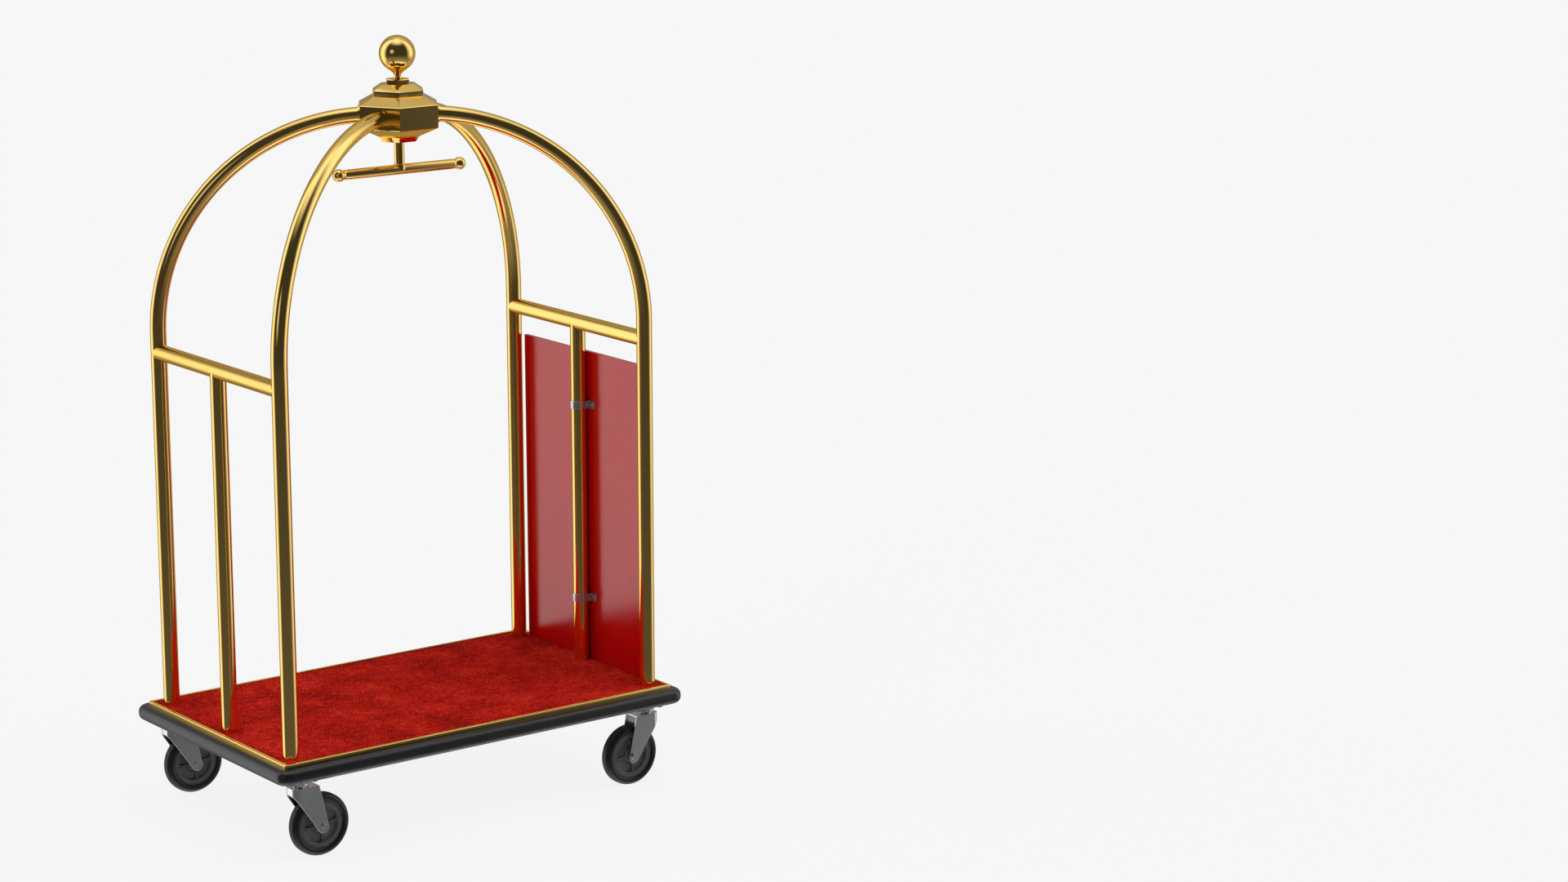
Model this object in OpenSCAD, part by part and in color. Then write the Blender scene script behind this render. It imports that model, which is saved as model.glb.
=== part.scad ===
// Hotel luggage cart: carpeted deck on four swivel casters, four tube
// arches meeting in a hexagonal hub with a ball finial, a garment hanger
// below the hub and a red end panel.
// X runs along the cart from the open end (-X) to the panel end (+X), Y runs
// across it, Z is up. The origin is on the floor under the deck's centre.

/* [Uprights and rails] */
// Distance between corner post centres along the cart
post_span_x = 1000; // [830:10:1200]
// Distance between corner post centres across the cart
post_span_y = 565; // [470:5:680]
// Outer diameter of the bright frame tube
tube_d = 38; // [31:1:46]
// Wall of every bright tube
tube_wall = 1.5; // [1:0.1:3]
// Height of the arch tops at the tube's centre
arch_top_z = 1650; // [1400:0.5:1990]
// Drop from the foot of an arch to the centre of the end rail
rail_drop = 44.5; // [36:0.5:120]
// Length of the threaded plug in each post foot
foot_plug_l = 40; // [20:1:80]
// Diameter of the bolt that holds each post foot
foot_bolt_d = 10; // [6:1:14]

/* [Hub and finial] */
// Corner radius of the hexagonal hub band
hub_r = 105; // [95:1:130]
// Height of the hub's upright band
hub_h = 55.4; // [46:0.1:70]
// Depth that each arch tube enters the hub
socket_depth = 24.6; // [18:0.1:30]
// Width of the bevel along the hub's edges
hub_bevel = 1.5; // [0.5:0.1:3]
// Thickness of the collar round each arch tube
collar_wall = 3.25; // [1:0.25:6]
// Length of that collar
collar_l = 4; // [2:0.5:8]
// Diameter of the tie rod through hub and caps
tie_rod_d = 12; // [8:1:14]
// Diameter of the finial ball
ball_d = 85.5; // [70:0.5:110]
// Diameter of the neck under the ball
neck_d = 18; // [16:0.5:24]
// Height of the neck between the small collar and the ball's cone
neck_h = 8; // [5:1:30]

/* [Deck] */
// How far the deck reaches past the corner posts at each end
deck_past_end = 21; // [12:0.5:45]
// How far the deck reaches past the corner posts on each side
deck_past_side = 26.5; // [16:0.5:45]
// Height of the trim's top lip above the floor
deck_top_z = 239; // [230:0.5:290]
// Corner radius of the deck trim
deck_corner_r = 8; // [5:0.5:20]
// Thickness of the trim sheet
trim_t = 1.5; // [1:0.1:3]
// Width of the trim's top lip
lip_w = 8; // [5:0.5:20]
// Thickness of the wooden deck board
board_t = 18; // [12:1:24]
// Thickness of the carpet under the lip
carpet_t = 4; // [2:0.5:8]
// Depth of the steel beams under the board
beam_h = 22; // [20:0.5:30]
// Steel of an end beam beyond the caster plates on its inner side
beam_margin = 12; // [8:1:40]
// Width of the side rails between the end beams
side_rail_w = 30; // [20:1:50]
// Wall of the steel beams
beam_wall = 2.5; // [2:0.1:4]

/* [Bumper] */
// How far the bumper stands out from the trim
bumper_out = 25; // [15:1:50]
// Height of the bumper's section
bumper_h = 37; // [28:1:42]
// Drop from the trim's top lip to the bumper's top
bumper_drop = 8.5; // [6:0.5:16]
// Radius along the bumper's upper and lower edge
bumper_edge_r = 16; // [5:0.5:18]
// Radius of the bumper's outer corner in plan
bumper_corner_r = 30; // [20:0.5:40]

/* [End panel] */
// Thickness of the end panel
panel_t = 10; // [6:0.5:12]
// How far the panel's sides stand inside the corner posts' centres
panel_side_in = 15.5; // [-5:0.5:60]
// Gap between the panel's top edge and the end rail's centre
panel_rail_gap = 75; // [40:1:200]
// Drop from the panel's top edge to the upper clip's centre
upper_clip_drop = 132; // [60:1:250]
// Rise from the panel's foot to the lower clip's centre
lower_clip_rise = 160; // [60:1:250]
// Height of a saddle clip
clip_h = 20; // [14:1:30]
// Length of each flat tab of a saddle clip
clip_tab_l = 20.4; // [14:0.2:34]
// Thickness of the clip's steel
clip_t = 2; // [1:0.1:3]
// Diameter of a clip screw's thread
screw_d = 4; // [3:0.5:5]

/* [Hanger] */
// Diameter of the hanger's stem and bar
hanger_d = 24; // [18:0.5:30]
// Drop from the arch tops to the hanger bar's centre
hanger_drop = 131; // [110:1:200]
// Distance between the knob centres on the hanger bar
hanger_span = 332; // [260:1:420]
// Diameter of the knobs on the hanger bar
knob_d = 30; // [28:0.5:44]

/* [Casters] */
// Diameter of the caster wheels
wheel_d = 150; // [125:1:160]
// Width of the tyre
tyre_w = 32; // [26:1:36]
// Diameter of the wheel's plastic centre
core_d = 111; // [90:1:118]
// Inset of the casters from the deck's open end
king_open_in = 50; // [45:1:140]
// Inset of the casters from the deck's panel end
king_panel_in = 58; // [45:1:140]
// Inset of each caster from the side of the deck
king_side_in = 30; // [29:0.5:60]
// Trail from the swivel axis to the wheel's axle
trail = 49; // [35:1:60]
// Width of the fork over its legs
fork_w = 46; // [44:0.2:54]
// Thickness of the fork's steel
fork_t = 2.5; // [2:0.1:3]
// Drop from the deck's steel beams to the fork's crown
head_drop = 20; // [16:0.5:24]
// Diameter of the kingpin
king_d = 12; // [10:0.5:14]
// Diameter of the caster's axle
axle_d = 10; // [8:0.5:12]
// Radial clearance of the running fits
run_gap = 0.05; // [0.02:0.01:0.1]

/* [Hidden] */
$fn = 96;

brass = [0.83, 0.66, 0.28];
steel = [0.55, 0.56, 0.57];
chrome = [0.78, 0.79, 0.80];
eps = 1;

// Signs of the four corners: open end -X, panel end +X, left +Y, right -Y
OPEN_LEFT = [-1, 1];
OPEN_RIGHT = [-1, -1];
PANEL_LEFT = [1, 1];
PANEL_RIGHT = [1, -1];
CORNERS = [OPEN_LEFT, OPEN_RIGHT, PANEL_LEFT, PANEL_RIGHT];

// Rounds a derived length, so that joined pieces meet at the same place
function tidy(v) = round(1000 * v) / 1000;

// Frame
tube_r = tube_d / 2;
post_x = post_span_x / 2;
post_y = post_span_y / 2;
post_rho = tidy(norm([post_x, post_y]));
braze_gap = 0.2;
hub_face = tidy(hub_r * cos(30));
arch_r = round(10 * (post_rho - hub_face + socket_depth)) / 10;
arch_foot_z = arch_top_z - arch_r;
rail_z = arch_foot_z - rail_drop;

// Deck, from the lip down
deck_l = post_span_x + tube_d + 2 * deck_past_end;
deck_w = post_span_y + tube_d + 2 * deck_past_side;
carpet_top_z = deck_top_z - trim_t;
board_top_z = carpet_top_z - carpet_t;
beam_top_z = board_top_z - board_t;
beam_bottom_z = beam_top_z - beam_h;
fit_gap = 0.2;
deck_in_l = deck_l - 2 * trim_t;
deck_in_w = deck_w - 2 * trim_t;
deck_in_r = deck_corner_r - trim_t;
pile_h = 1;
beam_out_x = deck_in_l / 2 - fit_gap;
side_rail_y = deck_in_w / 2 - fit_gap - side_rail_w / 2;
post_foot_z = board_top_z;
bumper_bottom_z = deck_top_z - bumper_drop - bumper_h;

// Hub profile: half width across the flats and height of each step
collar_d = tube_d + 2 * collar_wall;
band_bottom_z = arch_top_z - 0.8 - hub_h / 2;
band_top_z = band_bottom_z + hub_h;
cap_slope_h = 20.6;
cap_band_h = 11;
cap_top_slope_h = 14;
cap_band_r = 66;
cap_top_r = 44;
collar_hex_r = 30;
collar_hex_h = 10.5;
cap_foot_mid_r = 54;
cap_foot_mid_h = 21.5;
cap_foot_r = 44.5;
cap_foot_h = 13;
cap_top_z = band_top_z + cap_slope_h + cap_band_h + cap_top_slope_h;
cap_foot_z = band_bottom_z - cap_foot_mid_h - cap_foot_h;
neck_z = cap_top_z + collar_hex_h;
rod_gap = 0.2;

// Hanger
hanger_z = arch_top_z - hanger_drop;
hanger_r = hanger_d / 2;
hanger_bar_l = hanger_span - 2 * sqrt(pow(knob_d / 2, 2) - pow(hanger_r, 2));
knob_spigot_l = 20;
rod_in_stem = 25;

// End panel and its clips
panel_x = post_x + tube_r + 1;
panel_w = post_span_y - 2 * panel_side_in;
panel_foot_z = deck_top_z + 0.5;
panel_top_z = rail_z - panel_rail_gap;
clip_gap = 0.1;
clip_z_upper = panel_top_z - upper_clip_drop;
clip_z_lower = panel_foot_z + lower_clip_rise;
clip_in_r = tube_r + clip_gap;
clip_out_r = clip_in_r + clip_t;
clip_w = 2 * (clip_out_r + clip_tab_l);
clip_screw_y = clip_out_r + clip_tab_l / 2;
screw_head_d = 2 * screw_d;
screw_head_h = 0.6 * screw_d;
screw_l = 7;

// Casters
king_y = deck_w / 2 - king_side_in;
axle_z = wheel_d / 2;
crown_top_z = beam_bottom_z - head_drop;
plate_t = 4;
plate_l = 84;
plate_w = 56;
plate_bolt_x = 62;
plate_bolt_y = 38;
plate_bolt_d = 8;
plate_bolt_head_h = 5;
plate_bolt_head_d = 13;
disc_d = 43;
disc_h = 4.5;
race_d = 31;
race_h = 4.3;
disc_z = crown_top_z + race_h + 0.3;
king_head_d = 20;
king_head_h = 3;
fork_front = 26;
fork_rear = 41;
fork_bend_r = 14;
front_cut_drop = 17;
tip_r = 14;
tip_drop = 4;
leg_in = fork_w / 2 - fork_t;
hub_half_l = leg_in - 0.7;
bush_r = 8;
wheel_boss_r = 19;
axle_head_r = 9;
axle_head_h = 4;
axle_end_r = 5.5;
tyre_edge_r = 12;

function king_x(c) = c[0] < 0 ? king_open_in - deck_l / 2 : deck_l / 2 - king_panel_in;
function beam_in_x(sx) = abs(king_x([sx, 0])) - plate_l / 2 - beam_margin;

// ---------- shared shapes ----------

// A flat rectangle with round corners, centred
module rounded_rect(l, w, r) {
    square([l - 2 * r, w], center = true);
    square([l, w - 2 * r], center = true);
    for (c = CORNERS)
        translate([c[0] * (l / 2 - r), c[1] * (w / 2 - r)]) circle(r = r);
}

// A rounded slab from z0 up to z1
module slab(l, w, r, z0, z1) {
    translate([0, 0, z0]) linear_extrude(z1 - z0) rounded_rect(l, w, r);
}

// Straight round tube along Z
module pipe(r, wall, l) {
    linear_extrude(l) difference() {
        circle(r = r);
        circle(r = r - wall);
    }
}

// Cuts a tube's end to sit against a tube of radius r that runs along Z
module cope(r) {
    rotate([0, 0, 45]) translate([0, 0, -4 * r]) cylinder(r = r + braze_gap, h = 8 * r);
}

// Solid that is hexagonal at every height; steps hold [half flat width, z]
module hex_turned(steps) {
    outline = concat(
        steps,
        [for (i = [len(steps) - 1 : -1 : 0]) [-steps[i][0], steps[i][1]]]
    );
    reach = 2 * hub_r;
    intersection_for (a = [30, 90, 150])
        rotate([0, 0, a]) rotate([90, 0, 0])
            translate([0, 0, -reach]) linear_extrude(2 * reach) polygon(outline);
}

// Moves a shape from the cart's centre plane to one post's plane
module on_post_plane(c) {
    rotate([0, 0, atan2(c[1] * post_y, c[0] * post_x)]) children();
}

// The bent length of one arch as a solid bar of radius r
module arch_bend(r) {
    translate([post_rho - arch_r, 0, arch_foot_z]) rotate([90, 0, 0])
        rotate_extrude(angle = 90) translate([arch_r, 0]) circle(r = r);
}

// Point where a line from p meets the side of the circle of radius r at c
function touch(p, c, r, side) =
    let (d = p - c, a = atan2(d[1], d[0]) + side * acos(r / norm(d)))
    c + r * [cos(a), sin(a)];

// Places a caster piece that was drawn with its kingpin on the Z axis and
// its wheel trailing towards +X
module at_caster(c) {
    translate([king_x(c), c[1] * king_y, 0])
        rotate([0, 0, c[0] < 0 ? 0 : 180]) children();
}

// ---------- deck ----------

module post_holes(d, z0, z1) {
    for (sx = [-1, 1], y = [-post_y, 0, post_y])
        translate([sx * post_x, y, z0]) cylinder(d = d, h = z1 - z0);
}

module deck_board() {
    color("burlywood") difference() {
        slab(deck_in_l - 2 * fit_gap, deck_in_w - 2 * fit_gap, deck_in_r, beam_top_z, board_top_z);
        post_holes(foot_bolt_d + 2 * fit_gap, beam_top_z - eps, board_top_z + eps);
    }
}

module carpet() {
    color("firebrick") difference() {
        union() {
            slab(deck_in_l - 2 * fit_gap, deck_in_w - 2 * fit_gap, deck_in_r,
                board_top_z, carpet_top_z);
            slab(deck_l - 2 * (lip_w + fit_gap), deck_w - 2 * (lip_w + fit_gap), 1,
                board_top_z, carpet_top_z + pile_h);
        }
        post_holes(tube_d + 2 * fit_gap, board_top_z - eps, deck_top_z + eps);
    }
}

module edge_trim() {
    color(brass) difference() {
        slab(deck_l, deck_w, deck_corner_r, beam_bottom_z, deck_top_z);
        slab(deck_in_l, deck_in_w, deck_in_r, beam_bottom_z - eps, carpet_top_z);
        slab(deck_l - 2 * lip_w, deck_w - 2 * lip_w, 1, carpet_top_z - eps, deck_top_z + eps);
    }
}

// Half of the bumper's section, from the inside to its outer face
module bumper_half(w) {
    square([w - bumper_edge_r, bumper_h]);
    translate([0, bumper_edge_r]) square([w, bumper_h - 2 * bumper_edge_r]);
    for (z = [bumper_edge_r, bumper_h - bumper_edge_r])
        translate([w - bumper_edge_r, z]) circle(r = bumper_edge_r);
}

module bumper_prism(l, half_w) {
    rotate([90, 0, 90]) translate([0, 0, -l / 2]) linear_extrude(l)
        for (m = [0, 1]) mirror([m, 0]) bumper_half(half_w);
}

module bumper() {
    half_l = deck_l / 2 + bumper_out;
    half_w = deck_w / 2 + bumper_out;
    r = bumper_corner_r;
    color([0.09, 0.09, 0.09]) difference() {
        translate([0, 0, bumper_bottom_z]) union() {
            bumper_prism(2 * (half_l - r), half_w);
            rotate([0, 0, 90]) bumper_prism(2 * (half_w - r), half_l);
            for (c = CORNERS)
                translate([c[0] * (half_l - r), c[1] * (half_w - r), 0])
                    rotate([0, 0, atan2(c[1], c[0]) - 45])
                        rotate_extrude(angle = 90) intersection() {
                            bumper_half(r);
                            square([r, bumper_h]);
                        }
        }
        slab(deck_l, deck_w, deck_corner_r, bumper_bottom_z - eps, deck_top_z);
    }
}

// Rectangular steel tube along X, centred, with its foot at z = 0
module box_beam(l, w) {
    difference() {
        translate([-l / 2, -w / 2, 0]) cube([l, w, beam_h]);
        translate([-l / 2 - eps, -w / 2 + beam_wall, beam_wall])
            cube([l + 2 * eps, w - 2 * beam_wall, beam_h - 2 * beam_wall]);
    }
}

module side_rails() {
    l = beam_in_x(-1) + beam_in_x(1);
    x = (beam_in_x(1) - beam_in_x(-1)) / 2;
    color(steel) for (sy = [-1, 1])
        translate([x, sy * side_rail_y, beam_bottom_z]) box_beam(l, side_rail_w);
}

module centre_beam() {
    l = 2 * (side_rail_y - side_rail_w / 2);
    color(steel) translate([0, 0, beam_bottom_z]) rotate([0, 0, 90]) box_beam(l, 2 * side_rail_w);
}

module end_beam(sx) {
    l = 2 * (side_rail_y + side_rail_w / 2);
    w = beam_out_x - beam_in_x(sx);
    access_d = 2.6 * foot_bolt_d;
    color(steel) difference() {
        intersection() {
            translate([sx * (beam_out_x - w / 2), 0, beam_bottom_z]) rotate([0, 0, 90]) box_beam(l, w);
            slab(2 * beam_out_x, l, deck_in_r, beam_bottom_z - eps, beam_top_z + eps);
        }
        post_holes(foot_bolt_d + 2 * fit_gap, beam_bottom_z, board_top_z);
        translate([sx * post_x, 0, beam_bottom_z - eps]) cylinder(d = access_d, h = beam_wall + 2 * eps);
        plate_bolt_places() translate([0, 0, beam_bottom_z - eps])
            cylinder(d = plate_bolt_d + 2 * fit_gap, h = beam_wall + 2 * eps);
    }
}

module end_beam_open() end_beam(-1);
module end_beam_panel() end_beam(1);

// ---------- posts, arches and rails ----------

module upright(c) {
    inner_r = tube_r - tube_wall;
    color(brass) on_post_plane(c) difference() {
        union() {
            translate([post_rho, 0, post_foot_z]) cylinder(r = tube_r, h = arch_foot_z - post_foot_z);
            arch_bend(tube_r);
        }
        union() {
            translate([post_rho, 0, post_foot_z - eps])
                cylinder(r = inner_r, h = arch_foot_z - post_foot_z + eps);
            arch_bend(inner_r);
        }
    }
}

module upright_open_left() upright(OPEN_LEFT);
module upright_open_right() upright(OPEN_RIGHT);
module upright_panel_left() upright(PANEL_LEFT);
module upright_panel_right() upright(PANEL_RIGHT);

module end_rail(sx) {
    color(brass) difference() {
        translate([sx * post_x, post_y, rail_z]) rotate([90, 45, 0])
            pipe(tube_r, tube_wall, post_span_y);
        for (y = [-post_y, post_y]) translate([sx * post_x, y, rail_z]) cope(tube_r);
    }
}

module end_rail_open() end_rail(-1);
module end_rail_panel() end_rail(1);

module middle_post(sx) {
    color(brass) difference() {
        translate([sx * post_x, 0, post_foot_z]) rotate([0, 0, 45])
            pipe(tube_r, tube_wall, rail_z - post_foot_z);
        translate([sx * post_x, 0, rail_z]) rotate([90, 0, 0]) cope(tube_r);
    }
}

module middle_post_open() middle_post(-1);
module middle_post_panel() middle_post(1);

module foot_plugs() {
    color(steel) for (sx = [-1, 1], y = [-post_y, 0, post_y])
        translate([sx * post_x, y, post_foot_z]) difference() {
            cylinder(r = tube_r - tube_wall - fit_gap / 2, h = foot_plug_l);
            translate([0, 0, -eps]) cylinder(d = foot_bolt_d + 2 * run_gap, h = foot_plug_l + 2 * eps);
        }
}

module foot_bolts() {
    head_h = 0.6 * foot_bolt_d;
    head_z = beam_top_z - beam_wall - head_h;
    color(steel) for (sx = [-1, 1], y = [-post_y, 0, post_y])
        translate([sx * post_x, y, head_z]) union() {
            cylinder(d = 1.8 * foot_bolt_d, h = head_h, $fn = 6);
            cylinder(d = foot_bolt_d, h = post_foot_z + 0.8 * foot_plug_l - head_z);
        }
}

// ---------- hub, finial and hanger ----------

module rod_bore() {
    cylinder(d = tie_rod_d + 2 * rod_gap, h = 2 * arch_top_z);
}

module hub_band() {
    b = hub_bevel;
    color(brass) difference() {
        hex_turned([
            [hub_face - b, band_bottom_z], [hub_face, band_bottom_z + b],
            [hub_face, band_top_z - b], [hub_face - b, band_top_z]
        ]);
        for (c = CORNERS) on_post_plane(c) arch_bend(tube_r + fit_gap / 2);
        rod_bore();
    }
}

module hub_top_cap() {
    z1 = band_top_z + cap_slope_h;
    z2 = z1 + cap_band_h;
    foot = hub_face - hub_bevel;
    mid = cap_band_r * cos(30);
    step = 1;
    color(brass) difference() {
        hex_turned([
            [foot, band_top_z], [mid, z1 - step], [mid + step, z1],
            [mid + step, z2 - step], [mid, z2], [cap_top_r * cos(30), cap_top_z]
        ]);
        rod_bore();
    }
}

module hub_bottom_cap() {
    color(brass) difference() {
        hex_turned([
            [cap_foot_r * cos(30), cap_foot_z],
            [cap_foot_mid_r * cos(30), cap_foot_z + cap_foot_h],
            [hub_face - hub_bevel, band_bottom_z]
        ]);
        rod_bore();
    }
}

module tube_collars() {
    color(brass) for (c = CORNERS) difference() {
        rotate([0, 0, atan2(c[1] * sin(30), c[0] * cos(30))])
            translate([hub_face, 0, arch_top_z]) rotate([0, 90, 0]) cylinder(d = collar_d, h = collar_l);
        on_post_plane(c) arch_bend(tube_r + fit_gap / 2);
    }
}

module finial_collar() {
    r = collar_hex_r * cos(30);
    b = hub_bevel;
    color(brass) difference() {
        hex_turned([
            [r - 3 * b, cap_top_z], [r - 3 * b, cap_top_z + b], [r, cap_top_z + 1.5 * b],
            [r, neck_z - b], [r - b, neck_z]
        ]);
        rod_bore();
    }
}

module finial_ball() {
    r = ball_d / 2;
    nr = neck_d / 2;
    cone_top = 0.62 * r;
    lean = acos(cone_top / r);
    cone_h = 0.42 * r;
    ball_z = neck_z + neck_h + cone_h + r * sin(lean);
    rod_top = neck_h;
    color(brass) translate([0, 0, neck_z]) difference() {
        union() {
            rotate_extrude() union() {
                square([nr, neck_h + eps]);
                polygon([
                    [0, neck_h], [nr, neck_h],
                    [cone_top, ball_z - neck_z - r * sin(lean)],
                    [0, ball_z - neck_z - r * sin(lean)]
                ]);
            }
            translate([0, 0, ball_z - neck_z]) sphere(r = r);
        }
        translate([0, 0, -eps]) cylinder(d = tie_rod_d + 2 * run_gap, h = rod_top + eps);
    }
}

module tie_rod() {
    z0 = cap_foot_z - rod_in_stem;
    color(steel) translate([0, 0, z0]) cylinder(d = tie_rod_d, h = neck_z + 0.8 * neck_h - z0);
}

module hanger_stem() {
    l = cap_foot_z - hanger_z;
    color(brass) difference() {
        translate([0, 0, hanger_z]) rotate([0, 0, 45]) cylinder(r = hanger_r, h = l);
        translate([0, 0, cap_foot_z - rod_in_stem - eps])
            cylinder(d = tie_rod_d + 2 * run_gap, h = rod_in_stem + 2 * eps);
        translate([0, 0, hanger_z]) rotate([0, 90, 0]) cope(hanger_r);
    }
}

module hanger_bar() {
    color(brass) translate([-hanger_bar_l / 2, 0, hanger_z]) rotate([0, 90, 0])
        pipe(hanger_r, tube_wall, hanger_bar_l);
}

module hanger_knobs() {
    spigot_r = hanger_r - tube_wall - fit_gap / 2;
    color(brass) for (m = [0, 1]) mirror([m, 0, 0]) translate([0, 0, hanger_z]) union() {
        difference() {
            translate([hanger_span / 2, 0, 0]) sphere(d = knob_d);
            translate([hanger_bar_l / 2 - knob_d, -knob_d, -knob_d]) cube([knob_d, 2 * knob_d, 2 * knob_d]);
        }
        translate([hanger_bar_l / 2 - knob_spigot_l, 0, 0]) rotate([0, 90, 0])
            cylinder(r = spigot_r, h = knob_spigot_l + eps);
    }
}

// ---------- end panel ----------

module end_panel() {
    color("darkred") difference() {
        translate([panel_x, -panel_w / 2, panel_foot_z])
            cube([panel_t, panel_w, panel_top_z - panel_foot_z]);
        screw_places() translate([0, 0, -eps]) cylinder(d = screw_d, h = screw_l + 2 * eps);
    }
}

// Runs its children at each clip screw, with +Z into the panel's face
module screw_places() {
    for (z = [clip_z_lower, clip_z_upper], sy = [-1, 1])
        translate([panel_x, sy * clip_screw_y, z]) rotate([0, 90, 0]) children();
}

module clip(z) {
    flank = panel_x - post_x;
    color(steel) difference() {
        translate([post_x, 0, z - clip_h / 2]) linear_extrude(clip_h) difference() {
            union() {
                difference() {
                    circle(r = clip_out_r);
                    translate([0, -clip_w]) square(2 * clip_w);
                }
                translate([0, -clip_out_r]) square([flank, 2 * clip_out_r]);
                translate([flank - clip_t, -clip_w / 2]) square([clip_t, clip_w]);
            }
            circle(r = clip_in_r);
            translate([0, -clip_in_r]) square([flank + eps, 2 * clip_in_r]);
        }
        screw_places() translate([0, 0, -clip_t - eps]) cylinder(d = screw_d + 2 * fit_gap, h = clip_t + 2 * eps);
    }
}

module clip_upper() clip(clip_z_upper);
module clip_lower() clip(clip_z_lower);

module clip_screws() {
    color(steel) screw_places() union() {
        translate([0, 0, -clip_t - screw_head_h]) cylinder(d = screw_head_d, h = screw_head_h);
        translate([0, 0, -clip_t - eps]) cylinder(d = screw_d, h = clip_t + screw_l + eps);
    }
}

// ---------- casters ----------

module plate_bolt_places() {
    for (c = CORNERS) at_caster(c)
        for (x = [-plate_bolt_x / 2, plate_bolt_x / 2], y = [-plate_bolt_y / 2, plate_bolt_y / 2])
            translate([x, y, 0]) children();
}

module caster_plates() {
    color(chrome) difference() {
        for (c = CORNERS) at_caster(c)
            translate([0, 0, beam_bottom_z - plate_t]) linear_extrude(plate_t)
                rounded_rect(plate_l, plate_w, 5);
        for (c = CORNERS) at_caster(c) cylinder(d = king_d, h = beam_bottom_z + eps);
        plate_bolt_places() translate([0, 0, beam_bottom_z - plate_t - eps])
            cylinder(d = plate_bolt_d + 2 * fit_gap, h = plate_t + 2 * eps);
    }
}

module caster_bolts() {
    head_z = beam_bottom_z - plate_t - plate_bolt_head_h;
    shank = plate_bolt_head_h + plate_t + beam_wall + 8;
    color(steel) plate_bolt_places() translate([0, 0, head_z]) union() {
        cylinder(d = plate_bolt_head_d, h = plate_bolt_head_h, $fn = 6);
        cylinder(d = plate_bolt_d, h = shank);
    }
}

module caster_nuts() {
    color(steel) plate_bolt_places() translate([0, 0, beam_bottom_z + beam_wall]) difference() {
        cylinder(d = plate_bolt_head_d, h = plate_bolt_head_h + 1, $fn = 6);
        translate([0, 0, -eps]) cylinder(d = plate_bolt_d, h = plate_bolt_head_h + 1 + 2 * eps);
    }
}

module head_discs() {
    dish_h = beam_bottom_z - plate_t - disc_z - disc_h;
    color(chrome) for (c = CORNERS) at_caster(c) translate([0, 0, disc_z]) difference() {
        union() {
            cylinder(d = disc_d, h = disc_h);
            cylinder(d = disc_d - 8, h = disc_h + dish_h);
        }
        translate([0, 0, -eps]) cylinder(d = king_d, h = disc_h + dish_h + 2 * eps);
    }
}

module kingpins() {
    z0 = crown_top_z - fork_t - 0.5 - king_head_h;
    color(chrome) for (c = CORNERS) at_caster(c) translate([0, 0, z0]) union() {
        cylinder(d = king_head_d, h = king_head_h);
        cylinder(d = king_d, h = beam_bottom_z - z0);
    }
}

module fork(c) {
    tip = [trail, axle_z - tip_drop];
    front_top = [-fork_front, crown_top_z];
    rear_top = [fork_rear, crown_top_z];
    front_cut = [-fork_front, crown_top_z - front_cut_drop];
    line_in = 0.1;
    color(chrome) at_caster(c) difference() {
        intersection() {
            fork_channel();
            rotate([90, 0, 0]) translate([0, 0, -fork_w]) union() {
                linear_extrude(2 * fork_w) polygon([
                    front_top, rear_top, touch(rear_top, tip, tip_r - line_in, -1),
                    tip, touch(front_cut, tip, tip_r - line_in, 1), front_cut
                ]);
                translate(tip) cylinder(r = tip_r, h = 2 * fork_w);
            }
        }
        cylinder(r = king_d / 2 + run_gap, h = crown_top_z + eps);
        translate([trail, fork_w, axle_z]) rotate([90, 0, 0]) cylinder(d = axle_d, h = 2 * fork_w);
    }
}

// Sheet channel with a round-cornered front, two legs and a closed top
module fork_channel() {
    reach = trail + tip_r + eps;
    foot = axle_z - tip_drop - tip_r - eps;
    difference() {
        translate([0, 0, foot]) linear_extrude(crown_top_z - foot)
            fork_plan(fork_front, fork_w / 2, fork_bend_r, reach);
        translate([0, 0, foot - eps]) linear_extrude(crown_top_z - fork_t - foot + eps)
            fork_plan(fork_front - fork_t, leg_in, fork_bend_r - fork_t, reach + eps);
    }
}

module fork_plan(front, half_w, r, reach) {
    translate([-front + r, -half_w]) square([reach + front - r, 2 * half_w]);
    translate([-front, -half_w + r]) square([r, 2 * (half_w - r)]);
    for (sy = [-1, 1]) translate([-front + r, sy * (half_w - r)]) circle(r = r);
}

module race(c) {
    color(chrome) at_caster(c) translate([0, 0, crown_top_z]) difference() {
        cylinder(d = race_d, h = race_h);
        translate([0, 0, -eps]) cylinder(r = king_d / 2 + run_gap, h = race_h + 2 * eps);
    }
}

module axle(c) {
    half = fork_w / 2;
    color(chrome) at_caster(c) translate([trail, 0, axle_z]) rotate([90, 0, 0]) union() {
        translate([0, 0, -half - axle_head_h]) cylinder(d = axle_d, h = 2 * half + 1.5 * axle_head_h);
        translate([0, 0, -half - axle_head_h]) cylinder(r = axle_head_r, h = axle_head_h, $fn = 6);
        translate([0, 0, half]) cylinder(r = axle_end_r, h = 0.75 * axle_head_h);
    }
}

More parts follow.
